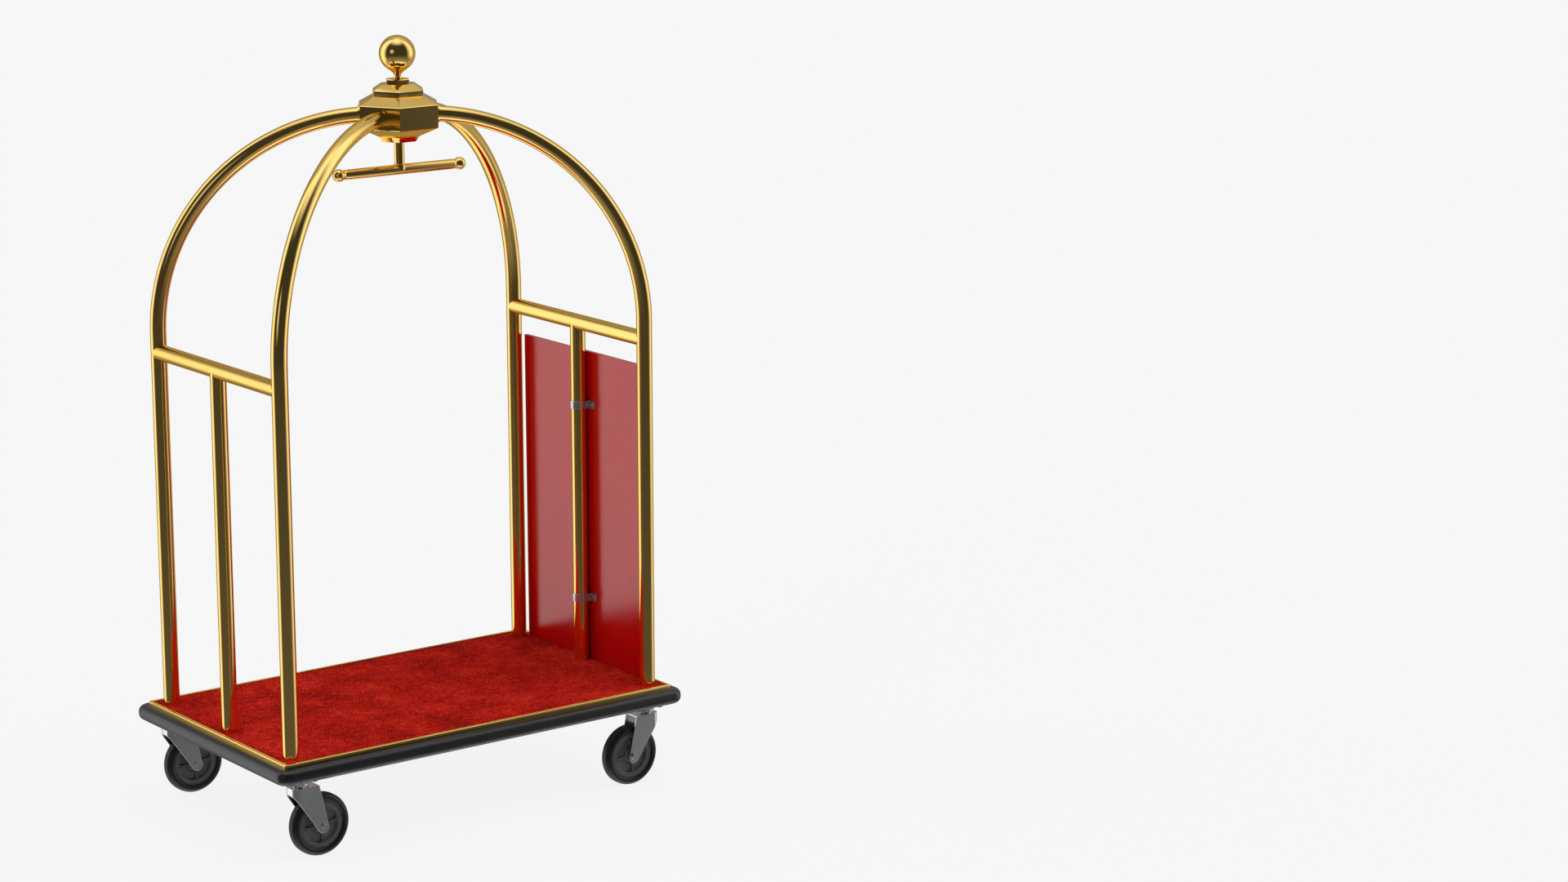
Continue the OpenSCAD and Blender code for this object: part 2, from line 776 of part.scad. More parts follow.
// Plastic wheel centre: hub, web, rim and short ribs on both sides
module wheel(c) {
    core_r = core_d / 2;
    rim_in = core_r - 12;
    rim_half = tyre_w / 2 - 4;
    web_half = 4;
    rib_t = 3;
    color([0.17, 0.17, 0.17]) at_caster(c) translate([trail, 0, axle_z]) rotate([90, 0, 0]) difference() {
        union() {
            rotate_extrude() union() {
                translate([0, -hub_half_l]) square([bush_r, 2 * hub_half_l]);
                translate([0, -rim_half + 1]) square([wheel_boss_r, 2 * rim_half - 2]);
                translate([0, -web_half]) square([core_r - eps, 2 * web_half]);
                translate([rim_in, -rim_half]) square([core_r - rim_in, 2 * rim_half]);
                translate([rim_in - 4, -rim_half + 3]) square([5, 2 * rim_half - 6]);
            }
            for (a = [0 : 90 : 270]) rotate([0, 0, a])
                translate([wheel_boss_r - eps, -rib_t / 2, -rim_half + 2])
                    cube([rim_in - wheel_boss_r, rib_t, 2 * rim_half - 4]);
        }
        translate([0, 0, -fork_w]) cylinder(r = axle_d / 2 + run_gap, h = 2 * fork_w);
    }
}

module tyre(c) {
    r = wheel_d / 2;
    half = tyre_w / 2;
    e = tyre_edge_r;
    groove = 1;
    color([0.08, 0.08, 0.08]) at_caster(c) translate([trail, 0, axle_z]) rotate([90, 0, 0])
        rotate_extrude() difference() {
            intersection() {
                union() {
                    translate([core_d / 2, -half]) square([r - e - core_d / 2, tyre_w]);
                    translate([core_d / 2, -half + e]) square([r - core_d / 2, tyre_w - 2 * e]);
                    for (s = [-1, 1]) translate([r - e, s * (half - e)]) circle(r = e);
                }
                translate([core_d / 2, -half]) square([r, tyre_w]);
            }
            for (y = [-6, 0, 6]) translate([r - groove, y - groove / 2]) square([2 * groove, groove]);
        }
}

module fork_open_left() fork(OPEN_LEFT);
module race_open_left() race(OPEN_LEFT);
module axle_open_left() axle(OPEN_LEFT);
module wheel_open_left() wheel(OPEN_LEFT);
module tyre_open_left() tyre(OPEN_LEFT);
module fork_open_right() fork(OPEN_RIGHT);
module race_open_right() race(OPEN_RIGHT);
module axle_open_right() axle(OPEN_RIGHT);
module wheel_open_right() wheel(OPEN_RIGHT);
module tyre_open_right() tyre(OPEN_RIGHT);
module fork_panel_left() fork(PANEL_LEFT);
module race_panel_left() race(PANEL_LEFT);
module axle_panel_left() axle(PANEL_LEFT);
module wheel_panel_left() wheel(PANEL_LEFT);
module tyre_panel_left() tyre(PANEL_LEFT);
module fork_panel_right() fork(PANEL_RIGHT);
module race_panel_right() race(PANEL_RIGHT);
module axle_panel_right() axle(PANEL_RIGHT);
module wheel_panel_right() wheel(PANEL_RIGHT);
module tyre_panel_right() tyre(PANEL_RIGHT);

deck_board();
carpet();
edge_trim();
bumper();
side_rails();
end_beam_open();
end_beam_panel();
centre_beam();
upright_open_left();
upright_open_right();
upright_panel_left();
upright_panel_right();
middle_post_open();
middle_post_panel();
end_rail_open();
end_rail_panel();
foot_plugs();
foot_bolts();
hub_band();
hub_top_cap();
hub_bottom_cap();
tube_collars();
finial_collar();
finial_ball();
tie_rod();
hanger_stem();
hanger_bar();
hanger_knobs();
end_panel();
clip_upper();
clip_lower();
clip_screws();
caster_plates();
caster_bolts();
caster_nuts();
head_discs();
kingpins();
fork_open_left();
race_open_left();
axle_open_left();
wheel_open_left();
tyre_open_left();
fork_open_right();
race_open_right();
axle_open_right();
wheel_open_right();
tyre_open_right();
fork_panel_left();
race_panel_left();
axle_panel_left();
wheel_panel_left();
tyre_panel_left();
fork_panel_right();
race_panel_right();
axle_panel_right();
wheel_panel_right();
tyre_panel_right();
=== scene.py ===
"""Looks of the hotel luggage cart: polished tube frame with its hexagonal hub,
carpeted deck, rubber bumper, gloss end panel and swivel casters."""

import math

import bmesh
import bpy
from mathutils import Matrix, Vector, noise


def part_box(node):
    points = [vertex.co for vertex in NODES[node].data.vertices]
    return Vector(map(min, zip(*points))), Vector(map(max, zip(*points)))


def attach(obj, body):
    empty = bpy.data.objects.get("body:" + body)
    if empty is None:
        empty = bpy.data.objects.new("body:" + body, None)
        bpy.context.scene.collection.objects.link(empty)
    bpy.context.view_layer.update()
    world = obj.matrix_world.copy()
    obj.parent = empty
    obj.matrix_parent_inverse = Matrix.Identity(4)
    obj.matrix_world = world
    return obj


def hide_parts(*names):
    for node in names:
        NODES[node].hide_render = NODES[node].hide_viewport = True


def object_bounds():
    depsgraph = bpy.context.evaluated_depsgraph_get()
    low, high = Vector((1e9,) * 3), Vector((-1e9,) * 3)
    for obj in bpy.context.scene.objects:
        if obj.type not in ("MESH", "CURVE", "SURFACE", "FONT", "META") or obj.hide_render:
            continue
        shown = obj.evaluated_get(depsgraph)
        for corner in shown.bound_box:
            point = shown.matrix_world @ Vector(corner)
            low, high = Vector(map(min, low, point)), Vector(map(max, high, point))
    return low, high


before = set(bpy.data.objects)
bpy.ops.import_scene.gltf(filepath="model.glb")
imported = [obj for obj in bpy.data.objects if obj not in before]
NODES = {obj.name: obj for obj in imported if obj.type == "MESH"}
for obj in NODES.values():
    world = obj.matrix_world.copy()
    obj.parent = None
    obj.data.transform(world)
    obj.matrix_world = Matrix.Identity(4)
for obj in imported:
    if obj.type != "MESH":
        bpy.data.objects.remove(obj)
CAD_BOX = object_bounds()
TAU = math.tau


# ---------------------------------------------------------------- sizes
def mid(node):
    low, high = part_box(node)
    return (low + high) / 2


def size(node):
    low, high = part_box(node)
    return high - low


ENDS = {"open": -1, "panel": 1}
SIDES = {"left": 1, "right": -1}
CORNERS = [(end, side) for end in ENDS for side in SIDES]

TUBE_R = size("middle_post_open").x / 2
POST_X = mid("middle_post_panel").x
POST_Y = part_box("upright_open_left")[1].y - TUBE_R
POST_FOOT_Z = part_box("upright_open_left")[0].z
ARCH_TOP_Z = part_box("upright_open_left")[1].z - TUBE_R
RAIL_Z = mid("end_rail_open").z
HUB_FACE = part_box("hub_band")[1].y
SOCKET = 0.0246
TUBE_SIDES = 56
POST_SPLIT_Z = 0.7
POST_RHO = math.hypot(POST_X, POST_Y)
ARCH_R = POST_RHO - HUB_FACE + SOCKET
ARCH_FOOT_Z = ARCH_TOP_Z - ARCH_R
TRIM_TOP_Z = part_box("edge_trim")[1].z
TRIM_LOW_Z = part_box("edge_trim")[0].z
HALF_L, HALF_W = size("edge_trim").x / 2, size("edge_trim").y / 2
LIP_W = 0.008
FLOOR_Z = CAD_BOX[0].z


# ---------------------------------------------------------------- meshes
def add_object(name, mesh):
    obj = bpy.data.objects.new(name, mesh)
    bpy.context.scene.collection.objects.link(obj)
    return obj


def shade(obj, angle=40):
    obj.data.shade_smooth()
    if angle is not None:
        obj.data.set_sharp_from_angle(angle=math.radians(angle))


def clean(obj, angle=40, merge=1e-6):
    """Merges doubles and turns every face outwards."""
    bm = bmesh.new()
    bm.from_mesh(obj.data)
    bmesh.ops.remove_doubles(bm, verts=bm.verts, dist=merge)
    bmesh.ops.recalc_face_normals(bm, faces=bm.faces)
    bm.to_mesh(obj.data)
    bm.free()
    shade(obj, angle)
    return obj


def mesh_object(name, verts, faces, angle=40):
    mesh = bpy.data.meshes.new(name)
    mesh.from_pydata([tuple(v) for v in verts], [], faces)
    return clean(add_object(name, mesh), angle)


def applied(obj):
    """The object with its modifiers made into plain mesh."""
    bpy.context.view_layer.update()
    depsgraph = bpy.context.evaluated_depsgraph_get()
    mesh = bpy.data.meshes.new_from_object(
        obj.evaluated_get(depsgraph), preserve_all_data_layers=True, depsgraph=depsgraph
    )
    obj.modifiers.clear()
    old = obj.data
    obj.data = mesh
    bpy.data.meshes.remove(old)
    return obj


def join(name, objs):
    """One mesh object from several; their materials follow their faces."""
    bm = bmesh.new()
    materials = []
    for obj in objs:
        first = len(bm.faces)
        bm.from_mesh(obj.data)
        bm.faces.ensure_lookup_table()
        own = [m for m in obj.data.materials]
        for face in bm.faces[first:]:
            material = own[face.material_index] if own else None
            if material not in materials:
                materials.append(material)
            face.material_index = materials.index(material)
    mesh = bpy.data.meshes.new(name)
    bm.to_mesh(mesh)
    bm.free()
    for material in materials:
        mesh.materials.append(material)
    for obj in objs:
        old = obj.data
        bpy.data.objects.remove(obj)
        bpy.data.meshes.remove(old)
    return add_object(name, mesh)


def softened(node, width, segments=2, angle=25, name=None):
    """A copy of a CAD node with its sharp edges rounded off."""
    mesh = NODES[node].data.copy()
    mesh.materials.clear()
    obj = add_object(name or node + "_finished", mesh)
    bm = bmesh.new()
    bm.from_mesh(mesh)
    bmesh.ops.remove_doubles(bm, verts=bm.verts, dist=2e-6)
    bmesh.ops.dissolve_limit(
        bm, angle_limit=math.radians(0.6), verts=bm.verts, edges=bm.edges
    )
    bmesh.ops.recalc_face_normals(bm, faces=bm.faces)
    bm.to_mesh(mesh)
    bm.free()
    shade(obj, 30)
    bevel = obj.modifiers.new("edge", "BEVEL")
    bevel.width = width
    bevel.segments = segments
    bevel.limit_method = "ANGLE"
    bevel.angle_limit = math.radians(angle)
    bevel.use_clamp_overlap = True
    bevel.harden_normals = True
    return applied(obj)


def ring_faces(rings, n, closed_path=False, caps=True):
    """Quads between rings of n points each."""
    faces = []
    count = rings if closed_path else rings - 1
    for i in range(count):
        a, b = i * n, ((i + 1) % rings) * n
        for k in range(n):
            m = (k + 1) % n
            faces.append((a + k, a + m, b + m, b + k))
    if caps and not closed_path:
        faces.append(tuple(reversed(range(n))))
        faces.append(tuple((rings - 1) * n + k for k in range(n)))
    return faces


def turned(name, profile, place=None, steps=64, closed=False, angle=35):
    """A profile of (radius, height) turned round the Z axis, then placed."""
    place = place or Matrix.Identity(4)
    verts, faces = [], []
    for i in range(steps):
        a = TAU * i / steps
        for r, z in profile:
            verts.append(place @ Vector((r * math.cos(a), r * math.sin(a), z)))
    n = len(profile)
    spans = n if closed else n - 1
    for i in range(steps):
        j = (i + 1) % steps
        for k in range(spans):
            m = (k + 1) % n
            faces.append((i * n + k, j * n + k, j * n + m, i * n + m))
    return mesh_object(name, verts, faces, angle)


def loop_path(half_l, half_w, radius, arc_steps=10):
    """Points round a rounded rectangle, each with its outward direction."""
    path = []
    for k, (sx, sy) in enumerate([(1, 1), (-1, 1), (-1, -1), (1, -1)]):
        centre = Vector((sx * (half_l - radius), sy * (half_w - radius)))
        for i in range(arc_steps + 1):
            a = TAU / 4 * (k + i / arc_steps)
            out = Vector((math.cos(a), math.sin(a)))
            path.append((centre + radius * out, out))
    return path


def swept_loop(name, section, path, angle=35):
    """A closed section of (outward, height) swept round a closed path."""
    verts = [
        Vector((p.x + out.x * u, p.y + out.y * u, z)) for p, out in path for u, z in section
    ]
    return mesh_object(name, verts, ring_faces(len(path), len(section), True), angle)


# ---------------------------------------------------------------- geometry nodes
def geometry_tree(name, sockets):
    """An empty tree with a geometry input and output and named size inputs."""
    tree = bpy.data.node_groups.new(name, "GeometryNodeTree")
    tree.interface.new_socket("Geometry", in_out="INPUT", socket_type="NodeSocketGeometry")
    for label, kind, value in sockets:
        item = tree.interface.new_socket(label, in_out="INPUT", socket_type="NodeSocket" + kind)
        if value is not None:
            item.default_value = value
    tree.interface.new_socket("Geometry", in_out="OUTPUT", socket_type="NodeSocketGeometry")
    return tree, tree.nodes.new("NodeGroupInput"), tree.nodes.new("NodeGroupOutput")


def node(tree, kind, inputs=(), **settings):
    made = tree.nodes.new(kind)
    for key, value in settings.items():
        setattr(made, key, value)
    for key, value in dict(inputs).items():
        if isinstance(value, bpy.types.NodeSocket):
            tree.links.new(value, made.inputs[key])
        else:
            made.inputs[key].default_value = value
    return made


def calc(tree, operation, *values):
    """The result of one Math node."""
    return node(tree, "ShaderNodeMath", dict(enumerate(values)), operation=operation).outputs[0]


def mix_colors(tree, share, first, second, blend="MIX"):
    """The blend of two colours, each a socket or three numbers."""
    first, second = [(*c, 1) if isinstance(c, tuple) else c for c in (first, second)]
    return node(
        tree,
        "ShaderNodeMix",
        {0: share, 6: first, 7: second},
        data_type="RGBA",
        blend_type=blend,
    ).outputs[2]


def mix_values(tree, share, first, second):
    return node(
        tree, "ShaderNodeMix", {0: share, 2: first, 3: second}, data_type="FLOAT"
    ).outputs[0]


def finish_tree(tree, geometry, src, out):
    """Ends a tree: its copies are made real and get their material."""
    real = node(tree, "GeometryNodeRealizeInstances", {"Geometry": geometry})
    done = node(
        tree,
        "GeometryNodeSetMaterial",
        {"Geometry": real.outputs[0], "Material": src.outputs["Material"]},
    )
    tree.links.new(done.outputs[0], out.inputs[0])
    return tree


def run_tree(obj, tree, values):
    """Gives the object the tree with these inputs and keeps the result as mesh."""
    modifier = obj.modifiers.new(tree.name, "NODES")
    modifier.node_group = tree
    for item in tree.interface.items_tree:
        if item.item_type == "SOCKET" and item.in_out == "INPUT" and item.name in values:
            modifier[item.identifier] = values[item.name]
    return applied(obj)


def tube_tree():
    """Bends a round bar along each chain of edges."""
    tree, src, out = geometry_tree(
        "bent tube",
        [("Radius", "Float", 0.019), ("Sides", "Int", 48), ("Material", "Material", None)],
    )
    curve = node(tree, "GeometryNodeMeshToCurve", {"Mesh": src.outputs["Geometry"]})
    ring = node(
        tree,
        "GeometryNodeCurvePrimitiveCircle",
        {"Resolution": src.outputs["Sides"], "Radius": src.outputs["Radius"]},
        mode="RADIUS",
    )
    bar = node(
        tree,
        "GeometryNodeCurveToMesh",
        {"Curve": curve.outputs[0], "Profile Curve": ring.outputs[0], "Fill Caps": True},
    )
    return finish_tree(tree, bar.outputs[0], src, out)


def bent_tubes(name, paths, radius, material, sides=TUBE_SIDES):
    """Tubes along point lists, by the tube tree."""
    verts, edges = [], []
    for path in paths:
        first = len(verts)
        verts += [tuple(p) for p in path]
        edges += [(first + i, first + i + 1) for i in range(len(path) - 1)]
    mesh = bpy.data.meshes.new(name)
    mesh.from_pydata(verts, edges, [])
    obj = add_object(name, mesh)
    run_tree(obj, TUBES, {"Radius": radius, "Sides": sides, "Material": material})
    return clean(obj, 50)


def pile_tree():
    """Stands short tufts of yarn all over a surface."""
    tree, src, out = geometry_tree(
        "carpet pile",
        [
            ("Spacing", "Float", 0.0032),
            ("Tuft Height", "Float", 0.003),
            ("Tuft Radius", "Float", 0.002),
            ("Lean", "Float", 0.5),
            ("Seed", "Int", 7),
            ("Material", "Material", None),
        ],
    )
    packing = 0.62
    density = calc(tree, "DIVIDE", packing, src.outputs["Spacing"])
    most = calc(tree, "DIVIDE", density, src.outputs["Spacing"])
    points = node(
        tree,
        "GeometryNodeDistributePointsOnFaces",
        {
            "Mesh": src.outputs["Geometry"],
            "Distance Min": src.outputs["Spacing"],
            "Density Max": most,
            "Seed": src.outputs["Seed"],
        },
        distribute_method="POISSON",
    )
    tuft = node(
        tree,
        "GeometryNodeMeshCone",
        {
            "Vertices": 4,
            "Radius Bottom": src.outputs["Tuft Radius"],
            "Radius Top": 0.0,
            "Depth": src.outputs["Tuft Height"],
        },
        fill_type="NONE",
    )
    lean_low = calc(tree, "MULTIPLY", src.outputs["Lean"], -1.0)
    low = node(tree, "ShaderNodeCombineXYZ", {"X": lean_low, "Y": lean_low, "Z": 0.0})
    high = node(
        tree,
        "ShaderNodeCombineXYZ",
        {"X": src.outputs["Lean"], "Y": src.outputs["Lean"], "Z": TAU},
    )
    turn = node(
        tree,
        "FunctionNodeRandomValue",
        {0: low.outputs[0], 1: high.outputs[0], "Seed": src.outputs["Seed"]},
        data_type="FLOAT_VECTOR",
    )
    scale = node(
        tree, "FunctionNodeRandomValue", {2: 0.75, 3: 1.2, "Seed": 3}, data_type="FLOAT"
    )
    stand = node(
        tree,
        "GeometryNodeInstanceOnPoints",
        {
            "Points": points.outputs["Points"],
            "Instance": tuft.outputs["Mesh"],
            "Rotation": turn.outputs[0],
            "Scale": scale.outputs[1],
        },
    )
    return finish_tree(tree, stand.outputs[0], src, out)


# ---------------------------------------------------------------- shader groups
def shader_group(name, inputs, outputs):
    group = bpy.data.node_groups.new(name, "ShaderNodeTree")
    for label, kind, value in inputs:
        item = group.interface.new_socket(
            label, in_out="INPUT", socket_type="NodeSocket" + kind
        )
        item.default_value = value
    for label, kind in outputs:
        group.interface.new_socket(label, in_out="OUTPUT", socket_type="NodeSocket" + kind)
    return group, group.nodes.new("NodeGroupInput"), group.nodes.new("NodeGroupOutput")


def noise_node(group, scale, detail, roughness=0.5, vector=None):
    made = node(
        group, "ShaderNodeTexNoise", {"Scale": scale, "Detail": detail, "Roughness": roughness}
    )
    if vector is None:
        vector = node(group, "ShaderNodeTexCoord").outputs["Object"]
    group.links.new(vector, made.inputs["Vector"])
    return made.outputs[0]


def ramp(group, value, low, high, out_low=0.0, out_high=1.0):
    return node(
        group,
        "ShaderNodeMapRange",
        {0: value, 1: low, 2: high, 3: out_low, 4: out_high},
        interpolation_type="SMOOTHSTEP",
    ).outputs[0]


def handling_marks():
    """Faint wiping marks and hairlines of a polished metal."""
    group, src, out = shader_group(
        "handling marks",
        [("Roughness", "Float", 0.14), ("Smear", "Float", 0.05), ("Hairline", "Float", 0.2)],
        [("Roughness", "Float"), ("Height", "Float")],
    )
    smear = ramp(group, noise_node(group, 9.0, 4.0, 0.6), 0.35, 0.7)
    spots = ramp(group, noise_node(group, 130.0, 2.0), 0.4, 0.8)
    spread = calc(group, "MULTIPLY", calc(group, "ADD", smear, spots), src.outputs["Smear"])
    rough = calc(group, "ADD", spread, src.outputs["Roughness"])
    line = calc(group, "MULTIPLY", noise_node(group, 900.0, 2.0), src.outputs["Hairline"])
    group.links.new(rough, out.inputs["Roughness"])
    group.links.new(line, out.inputs["Height"])
    return group


def fine_grain():
    """Moulding grain: a small even relief with slow changes of tone."""
    group, src, out = shader_group(
        "fine grain",
        [("Grain", "Float", 800.0), ("Tone", "Float", 0.2)],
        [("Height", "Float"), ("Value", "Float")],
    )
    height = noise_node(group, 800.0, 2.0)
    group.links.new(src.outputs["Grain"], height.node.inputs["Scale"])
    slow = ramp(group, noise_node(group, 14.0, 5.0, 0.65), 0.3, 0.7, -0.5, 0.5)
    value = calc(group, "ADD", calc(group, "MULTIPLY", slow, src.outputs["Tone"]), 1.0)
    group.links.new(height, out.inputs["Height"])
    group.links.new(value, out.inputs["Value"])
    return group


def dust_film():
    """Where dust settles: faces that look up, broken by noise."""
    group, src, out = shader_group("dust film", [("Amount", "Float", 0.2)], [("Mask", "Float")])
    normal = node(group, "ShaderNodeNewGeometry").outputs["Normal"]
    up = node(group, "ShaderNodeSeparateXYZ", {0: normal}).outputs[2]
    facing = ramp(group, up, 0.2, 1.0)
    patch = ramp(group, noise_node(group, 60.0, 6.0, 0.7), 0.35, 0.75)
    mask = calc(group, "MULTIPLY", calc(group, "MULTIPLY", facing, patch), src.outputs["Amount"])
    group.links.new(mask, out.inputs["Mask"])
    return group


def pile_mottle():
    """Cut pile: broad patches of painted shade where the pile leans different ways, small flecks
    and a yarn-sized relief.
    """
    group, src, out = shader_group(
        "pile mottle",
        [
            ("Deep", "Color", (0.34, 0.010, 0.006, 1)),
            ("Middle", "Color", (0.62, 0.016, 0.009, 1)),
            ("Light", "Color", (0.85, 0.050, 0.025, 1)),
        ],
        [("Color", "Color"), ("Height", "Float")],
    )
    # painted shade: broad patches lighter and darker, as light would fall on pile leaning different
    # ways
    painted_lean_shade = noise_node(group, 9.0, 5.0, 0.62)
    clumps = noise_node(group, 55.0, 4.0, 0.6)
    yarn = noise_node(group, 330.0, 3.0, 0.6)
    mixed = calc(group, "MULTIPLY", painted_lean_shade, 0.9)
    mixed = calc(group, "MULTIPLY_ADD", clumps, 0.7, mixed)
    mixed = calc(group, "MULTIPLY_ADD", yarn, 0.75, mixed)
    color = mix_colors(
        group, ramp(group, mixed, 0.92, 1.2), src.outputs["Deep"], src.outputs["Middle"]
    )
    color = mix_colors(group, ramp(group, mixed, 1.12, 1.5), color, src.outputs["Light"])
    group.links.new(color, out.inputs["Color"])
    group.links.new(yarn, out.inputs["Height"])
    return group


MARKS, GRAIN, DUST, MOTTLE = handling_marks(), fine_grain(), dust_film(), pile_mottle()
DUST_COLOR = (0.16, 0.15, 0.14)


# ---------------------------------------------------------------- materials
def new_material(name, **sockets):
    """A material with its Principled shader; constants go on its own sockets."""
    material = bpy.data.materials.new(name)
    material.use_nodes = True
    shader = material.node_tree.nodes["Principled BSDF"]
    for key, value in sockets.items():
        shader.inputs[key.replace("_", " ")].default_value = value
    return material, material.node_tree, shader


def placed(tree, group, **values):
    made = tree.nodes.new("ShaderNodeGroup")
    made.node_tree = group
    for key, value in values.items():
        made.inputs[key].default_value = value
    return made


def bumped(tree, shader, height, strength, distance):
    bump = node(
        tree, "ShaderNodeBump", {"Strength": strength, "Distance": distance, "Height": height}
    )
    tree.links.new(bump.outputs[0], shader.inputs["Normal"])


def metal(name, color, roughness, smear, bump, tint=None, edge=(1, 1, 1)):
    """Polished metal; edge is its colour where it is seen at a flat angle."""
    material, tree, shader = new_material(name, Metallic=1.0, Specular_Tint=(*edge, 1))
    marks = placed(tree, MARKS, Roughness=roughness, Smear=smear)
    tree.links.new(marks.outputs["Roughness"], shader.inputs["Roughness"])
    bumped(tree, shader, marks.outputs["Height"], bump, 0.0004)
    cloudy = ramp(tree, noise_node(tree, 5.0, 5.0, 0.6), 0.4, 0.75)
    tone = mix_colors(tree, cloudy, color, tint or tuple(c * 0.93 for c in color))
    tree.links.new(tone, shader.inputs["Base Color"])
    return material


def moulded(name, color, roughness, grain, bump, dust, tone=0.3, ior=1.5):
    material, tree, shader = new_material(name, IOR=ior)
    relief = placed(tree, GRAIN, Grain=grain, Tone=tone)
    film = placed(tree, DUST, Amount=dust)
    base = mix_colors(tree, 1.0, color, relief.outputs["Value"], "MULTIPLY")
    dusty = mix_colors(tree, film.outputs["Mask"], base, DUST_COLOR)
    tree.links.new(dusty, shader.inputs["Base Color"])
    rough = calc(tree, "MULTIPLY_ADD", film.outputs["Mask"], 0.4, roughness)
    tree.links.new(rough, shader.inputs["Roughness"])
    bumped(tree, shader, relief.outputs["Height"], bump, 0.0006)
    return material


GOLD_EDGE = (0.97, 0.80, 0.40)
BRASS = metal(
    "polished brass", (0.95, 0.64, 0.20), 0.09, 0.03, 0.004, (0.94, 0.62, 0.185), GOLD_EDGE
)
SATIN_BRASS = metal(
    "bright brass trim", (0.96, 0.66, 0.20), 0.13, 0.03, 0.004, (0.95, 0.64, 0.19), GOLD_EDGE
)
ZINC = metal("zinc plated steel", (0.66, 0.67, 0.69), 0.24, 0.1, 0.03, tint=(0.56, 0.57, 0.60))
CHROME = metal("satin chrome", (0.78, 0.78, 0.79), 0.24, 0.03, 0.008)
DARK_STEEL = metal("black oxide steel", (0.16, 0.16, 0.165), 0.35, 0.15, 0.3)
RUBBER = moulded("bumper rubber", (0.007, 0.007, 0.008), 0.30, 1100.0, 0.03, 0.02, ior=1.6)
TYRE = moulded("tyre rubber", (0.005, 0.005, 0.0055), 0.40, 900.0, 0.1, 0.04)
WHEEL_PLASTIC = moulded("moulded wheel plastic", (0.070, 0.071, 0.073), 0.38, 700.0, 0.1, 0.05)


def panel_laminate():
    """Deep red laminate under a clear gloss with a faint woven grain."""
    material, tree, shader = new_material("red gloss laminate", IOR=1.56)
    where = node(tree, "ShaderNodeTexCoord").outputs["Object"]
    upright = node(tree, "ShaderNodeMapping", {"Vector": where, "Rotation": (0, TAU / 4, 0)})
    threads = node(
        tree,
        "ShaderNodeTexBrick",
        {
            "Vector": upright.outputs[0],
            "Scale": 1.0,
            "Mortar Size": 0.00025,
            "Brick Width": 0.0022,
            "Row Height": 0.0011,
        },
    )
    relief = placed(tree, GRAIN, Grain=420.0, Tone=0.07)
    base = mix_colors(tree, 1.0, (0.50, 0.0016, 0.0014), relief.outputs["Value"], "MULTIPLY")
    tree.links.new(base, shader.inputs["Base Color"])
    marks = placed(tree, MARKS, Roughness=0.13, Smear=0.04)
    tree.links.new(marks.outputs["Roughness"], shader.inputs["Roughness"])
    height = calc(tree, "ADD", threads.outputs["Fac"], relief.outputs["Height"])
    bumped(tree, shader, height, 0.05, 0.0004)
    return material


def pile_material():
    material, tree, shader = new_material(
        "red cut pile",
        Roughness=0.92,
        Sheen_Weight=0.12,
        Sheen_Roughness=0.5,
        Sheen_Tint=(1.0, 0.12, 0.08, 1),
        Specular_IOR_Level=0.05,
    )
    mottle = placed(tree, MOTTLE)
    tree.links.new(mottle.outputs["Color"], shader.inputs["Base Color"])
    bumped(tree, shader, mottle.outputs["Height"], 0.5, 0.002)
    return material


def board_material():
    """Birch ply: long grain on the faces and thin dark glue lines on the edge."""
    material, tree, shader = new_material("birch plywood", Roughness=0.55)
    where = node(tree, "ShaderNodeTexCoord").outputs["Object"]
    along = node(tree, "ShaderNodeMapping", {"Vector": where, "Scale": (6.0, 90.0, 90.0)})
    grain = noise_node(tree, 1.0, 6.0, 0.6, along.outputs[0])
    height = node(tree, "ShaderNodeSeparateXYZ", {0: where}).outputs[2]
    plies = calc(tree, "SINE", calc(tree, "MULTIPLY", height, 2600.0))
    mixed = calc(tree, "ADD", grain, ramp(tree, plies, -0.2, 0.9, 0.0, 0.5))
    tone = mix_colors(
        tree, ramp(tree, mixed, 0.3, 1.1), (0.62, 0.44, 0.26), (0.33, 0.19, 0.09)
    )
    tree.links.new(tone, shader.inputs["Base Color"])
    bumped(tree, shader, grain, 0.3, 0.0005)
    return material


LAMINATE, PILE, PLYWOOD = panel_laminate(), pile_material(), board_material()
TUBES, TUFTS = tube_tree(), pile_tree()


# ---------------------------------------------------------------- placing
def hand_over(obj, material, body, slot, *nodes):
    """Gives a finished piece its material and body and hides the CAD nodes it stands for; slot is
    not used.
    """
    if material is not None:
        obj.data.materials.clear()
        obj.data.materials.append(material)
    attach(obj, body)
    if nodes:
        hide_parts(*nodes)
    return obj


def coat(material, *nodes):
    """Finishes CAD nodes whose own shape is right."""
    for name in nodes:
        mesh = NODES[name].data
        mesh.materials.clear()
        mesh.materials.append(material)


def corner(end, side):
    return f"{end}_{side}"


# ---------------------------------------------------------------- frame tubes
def arch_path(sx, sy, steps=72):
    """Up the post and over the arch, into the hub."""
    out = Vector((sx * POST_X, sy * POST_Y, 0)) / POST_RHO
    path = [out * POST_RHO + Vector((0, 0, z)) for z in (POST_FOOT_Z, POST_SPLIT_Z)]
    for i in range(steps + 1):
        a = TAU / 4 * i / steps
        rho = POST_RHO - ARCH_R + ARCH_R * math.cos(a)
        path.append(out * rho + Vector((0, 0, ARCH_FOOT_Z + ARCH_R * math.sin(a))))
    return path


